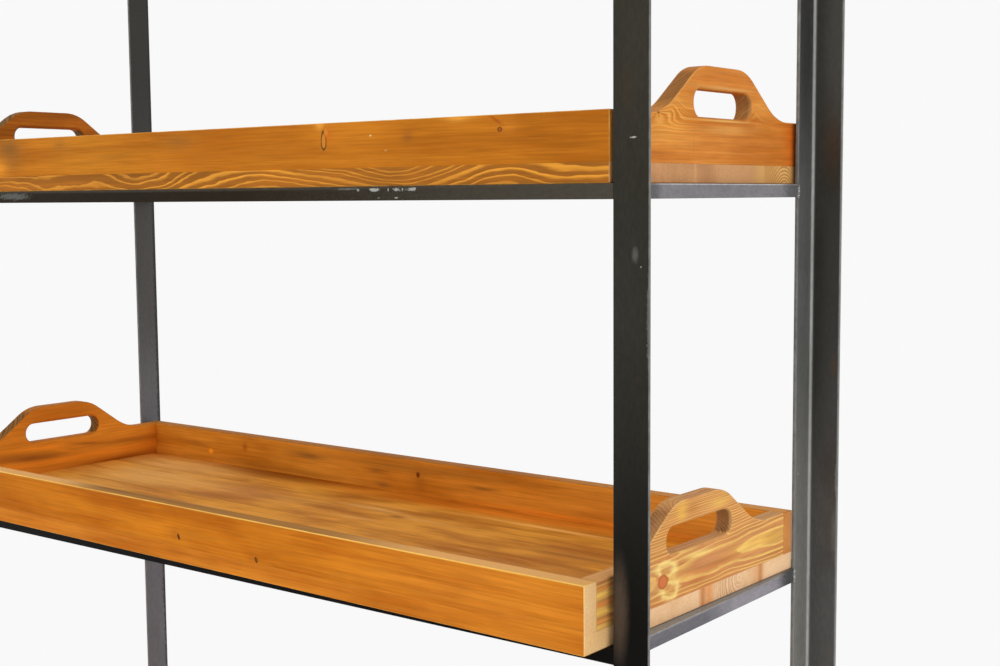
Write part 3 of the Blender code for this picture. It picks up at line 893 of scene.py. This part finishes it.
# Painted light and shade of the steel: lit and shaded tones by the way a face looks, a change with height that
# paints in the floor's reflection, the near black lower front rail as painted shade under its tray, and pale
# side rails as painted reflection; and the heights between which the tones pass from low to midway and on to
# high
STEEL_HEIGHTS = ((0.60, 0.90), (0.95, 1.25))
STEEL_PAINTED_LIGHT = {
    "post_front": tones_with_painted_light([(80, 80, 78), (90, 90, 88), (90, 90, 88)],
        [(11, 10, 8), (45, 43, 37), (53, 50, 42)], (70, 70, 68), (0.32, 0.44), 0.06, (60, 59, 56)),
    "post_back_left": tones_with_painted_light([(100, 102, 108), (68, 68, 66), (33, 31, 22)],
        [(80, 78, 76), (50, 49, 45), (50, 48, 43)], (70, 70, 68), (0.3, 0.42), 0.3, (80, 80, 78)),
    "post_back_right": tones_with_painted_light([(121, 120, 115), (94, 95, 92), (58, 58, 57)],
        [(82, 81, 79), (50, 49, 45), (66, 65, 59)], (70, 70, 68), (0.3, 0.42), 0.3, (176, 176, 172)),
    "rail_front": tones_with_painted_light([(40, 38, 34)] * 3, [(5, 4, 3), (36, 28, 18), (38, 31, 21)], (30, 28, 25),
        (0.34, 0.46), 0.06),
    "rail_back": tones_with_painted_light([(40, 38, 34)] * 3, [(34, 31, 26), (36, 33, 27), (36, 33, 27)], (30, 28, 25),
        (0.34, 0.46), 0.2),
    "rail_side": tones_with_painted_light([(118, 116, 122), (121, 119, 122), (121, 119, 122)], [(80, 78, 80)] * 3,
        (168, 170, 170), (0.48, 0.6), 0.1),
    "foot_plate": tones_with_painted_light([(44, 42, 38)] * 3, [(44, 42, 38)] * 3, (60, 58, 54), (0.34, 0.46), 0.3),
}


def is_side_rail(name):
    return name.startswith("rail_") and name.endswith(("left", "right"))


def steel_painted_light(name):
    """The painted light and shade of a steel node. The side rails share one, the foot plates another."""
    if is_side_rail(name):
        return STEEL_PAINTED_LIGHT["rail_side"]
    if name.startswith("rail_"):
        return STEEL_PAINTED_LIGHT["rail_" + name.split("_")[-1]]
    return next(painted_light for start, painted_light in STEEL_PAINTED_LIGHT.items() if name.startswith(start))


def rubbed_and_highlit_edges(name):
    """Edges of a steel node, rubbed and with a painted highlight along them, by the axes and values they lie
    at, with tone and width.
    """
    low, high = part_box(name)
    outer = low.x if name.endswith("left") else high.x
    if name.startswith("post_"):
        toe = low.y if name.startswith("post_back") else high.y
        return [({0: outer}, RUBBED_AND_HIGHLIT_STEEL, RUBBED_AND_HIGHLIT_LINE), ({1: toe}, RUBBED_AND_HIGHLIT_STEEL, RUBBED_AND_HIGHLIT_LINE)]
    if is_side_rail(name):
        return [({0: outer, 2: high.z}, RAIL_GLINT, RAIL_LINE)]
    return []


def inner_corner(name):
    """Where the two legs of a post meet inside, as axes and values, for the painted highlight along that
    corner.
    """
    low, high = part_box(name)
    x = high.x - ANGLE_THICKNESS if name.endswith("left") else low.x + ANGLE_THICKNESS
    y = high.y - ANGLE_THICKNESS if name.startswith("post_back") else low.y + ANGLE_THICKNESS
    return {0: x, 1: y}


def rolled_along(name, along, aside):
    """Scale of a pattern drawn out along a bar: upright posts and plates, rails along X or Y."""
    axis = 2
    if name.startswith("rail_"):
        axis = 1 if is_side_rail(name) else 0
    return tuple(along if index == axis else aside for index in range(3))


def edge_gap(n, axes, edge):
    """Distance from an edge, across both of its faces where it is given by two."""
    gaps = [n.math("ABSOLUTE", n.minus(axes[axis], value)) for axis, value in edge.items()]
    return gaps[0] if len(gaps) == 1 else n.math("MAXIMUM", *gaps)


def by_height(n, height, levels):
    """A tone that goes from the first to the second and on to the third with height, as a painted reflection of
    the floor.
    """
    colour = n.blend(n.smooth(height, *STEEL_HEIGHTS[0]), levels[0], levels[1])
    return n.blend(n.smooth(height, *STEEL_HEIGHTS[1]), colour, levels[2])


def marked(n, colour, place, nick, spot):
    """Adds a mark with a ragged outline."""
    shift = tuple(-at / side for at, side in zip(spot["at"], spot["reach"]))
    gap = n.length(n.scaled(place, tuple(1 / side for side in spot["reach"]), shift))
    soft = spot["soft"]
    ragged = n.plus(gap, n.vary(nick, soft - MARK_RAGGED, MARK_RAGGED - soft))
    cover = n.times(n.smooth(ragged, 1.0 + soft, 1.0 - soft), spot["gain"])
    return n.blend(cover, colour, spot["colour"])


def black_steel(name):
    """Hot-rolled angle with its mill scale under lacquer: cloudy and marked, with painted light and shade by
    facing and height, and edges rubbed and painted with highlights.
    """
    painted_light = steel_painted_light(name)
    material, n = new_material(f"black_steel_{name}")
    coordinates = n.add("ShaderNodeTexCoord")
    place = coordinates.outputs["Object"]
    axes = n.split(place)
    normal = n.split(coordinates.outputs["Normal"])
    cloud = n.texture(place, rolled_along(name, *ROLLED), NO_SHIFT, *CLOUDY)
    grain = n.texture(place, rolled_along(name, *GRAIN))
    scuff = n.texture(place, *SCUFFS)
    nick = n.texture(place, *NICKS)
    rubbed = n.smooth(scuff, *SCUFF_PASSAGE)

    # Painted light and shade: tones by direction and height; then clouded and stained
    along_x = n.smooth(n.math("ABSOLUTE", normal["X"]), *STEEL_FACING)
    along_z = n.smooth(n.math("ABSOLUTE", normal["Z"]), *STEEL_FACING)
    colour = by_height(n, axes["Z"], painted_light["y"])
    colour = n.blend(along_x, colour, by_height(n, axes["Z"], painted_light["x"]))
    colour = n.blend(along_z, colour, painted_light["top"])
    # Painted highlight along the inner corner where a post's legs meet
    if name.startswith("post_"):
        inner = n.smooth(edge_gap(n, axes, inner_corner(name)), *INNER_LINE)
        colour = n.blend(inner, colour, painted_light["corner"])
    colour = n.dapple(colour, cloud, *CLOUD_SHADES)
    tint = n.smooth(n.texture(place, *TINT), *TINT_PASSAGE)
    colour = n.blend(n.times(tint, TINT_SHARE), colour, BROWNED)
    colour = n.blend(n.times(rubbed, SCUFF_SHARE), colour, RUBBED)

    # Edges rubbed and painted with highlights, and marks
    for edge, tone, line in rubbed_and_highlit_edges(name):
        wear = n.smooth(edge_gap(n, axes, edge), *line)
        colour = n.blend(n.times(wear, n.spread(scuff, *EDGE_WEAR_AND_LIGHT_RANGE, *EDGE_WEAR_AND_LIGHT_SHARES)), colour, tone)
    for spot in MARKS.get(name, ()):
        colour = marked(n, colour, place, nick, spot)
    colour = n.dapple(colour, grain, *GRAIN_SHADES)
    rough = n.times_plus(rubbed, SCUFF_ROUGHNESS, n.vary(cloud, *painted_light["rough"]))
    surface(n, colour, rough, n.bumps(grain, *STEEL_RELIEF), Specular_IOR_Level=painted_light["specular"])
    return material


def weld_steel(name):
    """Bare weld metal: brighter than the angle, rippled and a little burnt."""
    material, n = new_material(name)
    place = n.add("ShaderNodeTexCoord").outputs["Object"]
    ripple = n.texture(place, *WELD_RIPPLES)
    colour = n.blend(n.smooth(ripple, *WELD_PASSAGE), WELD_DARK, WELD_GREY)
    rough = n.vary(ripple, *WELD_ROUGHNESS)
    surface(n, colour, rough, n.bumps(ripple, *WELD_RELIEF), Metallic=WELD_METAL)
    return material


def rubber(name):
    material, n = new_material(name)
    place = n.add("ShaderNodeTexCoord").outputs["Object"]
    cloud = n.texture(place, *RUBBER_CLOUDS)
    surface(n, n.blend(cloud, *RUBBER_TONES), n.vary(cloud, *RUBBER_ROUGHNESS))
    return material


def rounded(corners, steps):
    """Points of a closed outline from (x, z, radius) corners, each rounded by an arc unless it is sharp."""
    points = []
    for index, (x, z, radius) in enumerate(corners):
        corner = Vector((x, z))
        if radius <= 0:
            points.append(corner)
            continue
        before = (Vector(corners[index - 1][:2]) - corner).normalized()
        after = (Vector(corners[(index + 1) % len(corners)][:2]) - corner).normalized()
        half_angle = before.angle(after) / 2
        tangent = radius / math.tan(half_angle)
        centre = corner + (before + after).normalized() * radius / math.sin(half_angle)
        first = corner + before * tangent - centre
        turn = first.angle_signed(corner + after * tangent - centre)
        for step in range(steps + 1):
            points.append(centre + Matrix.Rotation(-turn * step / steps, 2) @ first)
    return points


def inset(outline, distances):
    """A counter-clockwise outline with each edge moved inwards; an edge is named by its first point."""
    moved = []
    for index, point in enumerate(outline):
        along = (point - outline[index - 1]).normalized()
        onward = (outline[(index + 1) % len(outline)] - point).normalized()
        first = Vector((-along.y, along.x))
        second = Vector((-onward.y, onward.x))
        turn = first.x * second.y - first.y * second.x
        before, after = distances[index - 1], distances[index]
        if abs(turn) < CORNER_TURN:
            moved.append(point + (first + second).normalized() * (before + after) / 2)
        else:
            x = before * second.y - after * first.y
            y = after * first.x - before * second.x
            moved.append(point + Vector((x, y)) / turn)
    return moved


def add_skin(form, rows, outwards=True):
    """Faces between closed rows of points, each row with the next."""
    for lower, upper in zip(rows, rows[1:]):
        for index in range(len(lower)):
            after = (index + 1) % len(lower)
            corners = (lower[index], lower[after], upper[after], upper[index])
            form.faces.new(corners if outwards else reversed(corners))


def add_wall(form, layer, outline, half, eases, steps, inwards):
    """Skin of an outline's edge, rounded over at both faces. Gives back the rows that border the faces."""
    angles = [math.pi / 2 * step / steps for step in range(steps + 1)]
    sections = [(-1, angle) for angle in reversed(angles)] + [(1, angle) for angle in angles]
    worn = [max(eases[index - 1], eases[index]) for index in range(len(outline))]
    wear = 1.0 if inwards > 0 else HOLE_WEAR
    rows = []
    for side, angle in sections:
        distances = [ease * (1 - math.cos(angle)) * inwards for ease in eases]
        row = []
        for point, ease in zip(inset(outline, distances), worn):
            height = side * (half - ease * (1 - math.sin(angle)))
            vertex = form.verts.new((point.x, -height, point.y))
            vertex[layer] = wear * math.sin(2 * angle) if ease > SHARP_EASE else 0.0
            row.append(vertex)
        rows.append(row)
    add_skin(form, rows, inwards > 0)
    return rows[0], rows[-1]


def end_outline(length, shift):
    """Outline of an end board, from the middle of its lower edge: a low wall with a raised handle."""
    foot = (HANDLE_FOOT_WIDTH / 2, WALL_RISE, HANDLE_FOOT_RADIUS)
    shoulder = (HANDLE_TOP_WIDTH / 2, WALL_RISE + HANDLE_RISE, HANDLE_SHOULDER_RADIUS)
    right = [(shift + x, z, radius) for x, z, radius in (foot, shoulder)]
    left = [(shift - x, z, radius) for x, z, radius in (shoulder, foot)]
    right_end = [(length / 2, -SEAM, 0), (length / 2, WALL_RISE, 0)]
    left_end = [(-x, z, radius) for x, z, radius in reversed(right_end)]
    return rounded(right_end + right + left + left_end, ARC_STEPS)


def hole_outline(shift, stretch):
    signs = [(1, 1), (-1, 1), (-1, -1), (1, -1)]
    middle = WALL_RISE + HOLE_CENTRE_ABOVE_WALL
    half_length = (HOLE_LENGTH + stretch) / 2
    corners = [(shift + x * half_length, middle + z * HOLE_HEIGHT / 2, HOLE_CORNER_RADIUS) for x, z in signs]
    return rounded(corners, ARC_STEPS)


def end_board_mesh(name, length, depth, cut):
    """An end board: sharp where it is glued, sanded round along its top, with a rounded-over hand hole."""
    shift = HANDLE_SHIFTS.get(cut, 0.0)
    outline = end_outline(length, shift)
    hole = hole_outline(shift, HOLE_STRETCHES.get(cut, 0.0))
    eases = []
    for index, point in enumerate(outline):
        middle = (point + outline[(index + 1) % len(outline)]) / 2
        glued = middle.y < WALL_RISE - SEAM
        eases.append(SHARP_EASE if glued else HANDLE_EASE)
    form = bmesh.new()
    layer = form.verts.layers.float.new("eased")
    borders = [add_wall(form, layer, outline, depth / 2, eases, EASE_STEPS, 1),
               add_wall(form, layer, hole, depth / 2, [HOLE_ROUND_OVER] * len(hole), ROUND_OVER_STEPS, -1)]
    for side in (0, 1):
        edges = []
        for border in borders:
            row = border[side]
            for index in range(len(row)):
                edges.append(form.edges.get((row[index - 1], row[index])))
        bmesh.ops.triangle_fill(form, use_beauty=True, edges=edges, normal=(0, -1 if side else 1, 0))
    return finished_mesh(name, form)


def finished_mesh(name, form):
    """The mesh of a form, smooth apart from its sharp edges."""
    bmesh.ops.recalc_face_normals(form, faces=form.faces)
    for edge in form.edges:
        edge.smooth = edge.calc_face_angle(0.0) < SHARP_ANGLE
    for face in form.faces:
        face.smooth = True
    mesh = bpy.data.meshes.new(name)
    form.to_mesh(mesh)
    form.free()
    return mesh


# Edges of the straight boards that lie open and are sanded, by the two faces that meet there
FRONT_BOARD_OPEN = ["-y+z", "+y+z", "-x-y", "+x-y", "-x+z", "+x+z"]
BACK_BOARD_OPEN = ["-y+z", "+y+z", "-x+y", "+x+y", "-x+z", "+x+z"]
PLANK_OPEN = ["-x-z", "+x-z"]
FRONT_PLANK_OPEN = PLANK_OPEN + ["-y-z", "-x-y", "+x-y"]
BACK_PLANK_OPEN = PLANK_OPEN + ["+y-z", "-x+y", "+x+y"]


def face_label(normal):
    axis = max(range(3), key=lambda index: abs(normal[index]))
    return ("+" if normal[axis] > 0 else "-") + "xyz"[axis]


def straight_board_mesh(name, size, growth, open_edges):
    """A straight board, grown a hair towards the boards it is glued to, with its open edges sanded."""
    form = bmesh.new()
    bmesh.ops.create_cube(form, size=1)
    for vertex in form.verts:
        for axis in range(3):
            side = 1 if vertex.co[axis] > 0 else -1
            label = ("+" if side > 0 else "-") + "xyz"[axis]
            vertex.co[axis] = side * (size[axis] / 2 + growth.get(label, 0.0))
    bmesh.ops.recalc_face_normals(form, faces=form.faces)
    wanted = []
    for edge in form.edges:
        labels = sorted((face_label(face.normal) for face in edge.link_faces), key=lambda label: label[1])
        if "".join(labels) in open_edges:
            wanted.append(edge)
    sanded = bmesh.ops.bevel(form, geom=wanted, offset=BOARD_EASE, offset_type="OFFSET", segments=EASE_STEPS,
                             profile=0.5, affect="EDGES", clamp_overlap=True)
    layer = form.verts.layers.float.new("eased")
    strip = {tuple(face.calc_center_median()) for face in sanded["faces"]}
    for vertex in form.verts:
        inside = all(tuple(face.calc_center_median()) in strip for face in vertex.link_faces)
        vertex[layer] = 1.0 if inside else 0.0
    return finished_mesh(name, form)


def board_form(part):
    """Which faces of a straight board are grown, and which of its edges lie open."""
    if part == "front_board":
        return {"-z": SEAM}, FRONT_BOARD_OPEN
    if part == "back_board":
        return {"-z": SEAM}, BACK_BOARD_OPEN
    if part == "plank_1":
        return {"+z": SEAM, "+y": SEAM}, FRONT_PLANK_OPEN
    if part == f"plank_{PLANK_COUNT}":
        return {"+z": SEAM, "-y": SEAM}, BACK_PLANK_OPEN
    return {"+z": SEAM, "+y": SEAM, "-y": SEAM}, PLANK_OPEN


def add_object(name, data):
    made = bpy.data.objects.new(name, data)
    bpy.context.scene.collection.objects.link(made)
    return made


def tray_box(level):
    """The box round a tray's planks."""
    corners = [corner for index in range(PLANK_COUNT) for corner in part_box(f"tray_{level}_plank_{index + 1}")]
    low = Vector([min(corner[axis] for corner in corners) for axis in range(3)])
    high = Vector([max(corner[axis] for corner in corners) for axis in range(3)])
    return low, high


def tray_matrix(level):
    """Place of a tray: the middle of its underside, turned as the CAD has it."""
    low, high = tray_box(level)
    middle = (low + high) / 2
    middle.z = low.z
    return Matrix.Translation(middle) @ Matrix.Rotation(TRAY_TURN.get(level, 0.0), 4, "Z")


def add_board(level, part, material):
    """One board of a tray, in place of its CAD node. Its grain runs along its own X."""
    low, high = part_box(f"tray_{PLAIN_TRAY}_{part}")
    plain_low, plain_high = tray_box(PLAIN_TRAY)
    middle = (low + high) / 2 - (plain_low + plain_high) / 2
    size = high - low
    name = f"wood_{level}_{part}"
    if part.endswith("_end"):
        mesh = end_board_mesh(name, size.y + 2 * SEAM, size.x, (level, part.removesuffix("_end")))
        middle.z = low.z - plain_low.z
        local = Matrix.Translation(middle) @ Matrix.Rotation(math.pi / 2, 4, "Z")
    else:
        mesh = straight_board_mesh(name, size, *board_form(part))
        middle.z = (low.z + high.z) / 2 - plain_low.z
        local = Matrix.Translation(middle)
    board = add_object(name, mesh)
    board.matrix_world = tray_matrix(level) @ local
    board.data.materials.append(material)
    normals = board.modifiers.new("even normals", "WEIGHTED_NORMAL")
    normals.keep_sharp = True
    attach(board, f"tray_{level}")
    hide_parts(f"tray_{level}_{part}")


def add_trays():
    parts = [f"plank_{index + 1}" for index in range(PLANK_COUNT)]
    parts += ["front_board", "back_board", "left_end", "right_end"]
    seed = 0
    for level in range(1, TRAY_COUNT + 1):
        for part in parts:
            seed += 1
            add_board(level, part, pine(f"pine_{level}_{part}", seed, board_look(level, part, seed)))


def finish_steel():
    """Steel and rubber finishes on the CAD nodes of the frame."""
    glide = rubber("glide_rubber")
    for name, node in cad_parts.items():
        if name.startswith("tray_"):
            continue
        finish = glide if name.startswith("glide_") else black_steel(name)
        node.data.materials.clear()
        node.data.materials.append(finish)


def add_bead(form, foot, length, chance):
    """A lumpy upright weld bead that tapers at both ends."""
    rings = []
    for ring in range(BEAD_RINGS + 1):
        share = ring / BEAD_RINGS
        taper = math.sqrt(max(1 - (2 * share - 1) ** 4, BEAD_TIP))
        middle = foot + Vector((0, 0, length * share))
        row = []
        for side in range(BEAD_SIDES):
            angle = 2 * math.pi * side / BEAD_SIDES
            reach = BEAD_RADIUS * taper * chance.uniform(*BEAD_LUMPS)
            row.append(form.verts.new(middle + Vector((reach * math.cos(angle), reach * math.sin(angle), 0))))
        rings.append(row)
    form.faces.new(reversed(rings[0]))
    form.faces.new(rings[-1])
    add_skin(form, rings)


def add_welds():
    """Weld beads where the ends of the side rails meet the posts."""
    chance = random.Random(BEAD_SEED)
    form = bmesh.new()
    for level in range(1, TRAY_COUNT + 1):
        for side in ("left", "right"):
            low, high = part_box(f"rail_{level}_{side}")
            x = low.x if side == "left" else high.x
            for y in (low.y, high.y):
                add_bead(form, Vector((x, y, high.z - BEAD_LENGTH)), BEAD_LENGTH, chance)
    welds = add_object("welds", finished_mesh("welds", form))
    welds.data.materials.append(weld_steel("weld_steel"))
    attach(welds, "frame")


def add_floor():
    """A wide pale floor. Away from the unit it fades into the plain background."""
    mesh = bpy.data.meshes.new("studio_floor")
    form = bmesh.new()
    bmesh.ops.create_circle(form, cap_ends=True, segments=FLOOR_SEGMENTS, radius=FLOOR_RADIUS)
    form.to_mesh(mesh)
    form.free()
    floor = add_object("studio_floor", mesh)
    material, n = new_material("studio_floor")
    place = n.add("ShaderNodeTexCoord").outputs["Object"]
    matt = n.add("ShaderNodeBsdfDiffuse", {"Color": FLOOR_COLOUR})
    plain = n.add("ShaderNodeEmission", {"Color": WHITE, "Strength": BACKGROUND})
    faded = n.times(seen_directly(n), n.smooth(n.length(place), *FLOOR_FADE))
    mix = n.add("ShaderNodeMixShader", {0: faded, 1: matt.outputs[0], 2: plain.outputs[0]})
    n.add("ShaderNodeOutputMaterial", {"Surface": mix.outputs[0]})
    floor.data.materials.append(material)
    floor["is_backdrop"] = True


def seen_directly(n):
    """1 for what the camera, a reflection or a see-through surface looks at, and 0 for light that falls."""
    path = n.add("ShaderNodeLightPath")
    seen = n.math("MAXIMUM", path.outputs["Is Camera Ray"], path.outputs["Is Glossy Ray"])
    return n.math("MAXIMUM", seen, path.outputs["Is Transmission Ray"])


def add_world():
    """Plain white all round for what looks at it, and soft light for what it falls on."""
    world = bpy.data.worlds.new("studio")
    world.use_nodes = True
    bpy.context.scene.world = world
    n = Nodes(world.node_tree)
    strength = n.spread(seen_directly(n), 0.0, 1.0, WORLD_LIGHT, BACKGROUND)
    background = n.add("ShaderNodeBackground", {"Color": WHITE, "Strength": strength})
    n.add("ShaderNodeOutputWorld", {"Surface": background.outputs[0]})


def add_lights():
    for name, (place, target, size, power, mirrored) in LIGHTS.items():
        light = bpy.data.lights.new(name, "AREA")
        light.shape = "RECTANGLE"
        light.size, light.size_y = size
        light.energy = power
        lamp = add_object(name, light)
        lamp.location = place
        lamp.visible_glossy = mirrored
        lamp.rotation_euler = (Vector(target) - Vector(place)).to_track_quat("-Z", "Y").to_euler()


def add_camera():
    camera = bpy.data.cameras.new("camera")
    camera.sensor_width = SENSOR_WIDTH
    camera.sensor_fit = "HORIZONTAL"
    camera.lens = CAMERA_LENS
    camera.clip_end = CAMERA_FAR
    viewer = add_object("camera", camera)
    turn = Matrix.Rotation(CAMERA_YAW, 4, "Z") @ Matrix.Rotation(math.pi / 2 - CAMERA_PITCH, 4, "X")
    viewer.matrix_world = Matrix.Translation(CAMERA_PLACE) @ turn @ Matrix.Rotation(-CAMERA_ROLL, 4, "Z")
    bpy.context.scene.camera = viewer


def write_sizes():
    boxes = {"cad": CAD_BOX, "visual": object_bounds()}
    plain = {name: [list(corner) for corner in box] for name, box in boxes.items()}


bpy.context.scene.view_settings.view_transform = "Standard"
add_camera()
add_world()
add_lights()
add_floor()
finish_steel()
add_welds()
add_trays()
write_sizes()
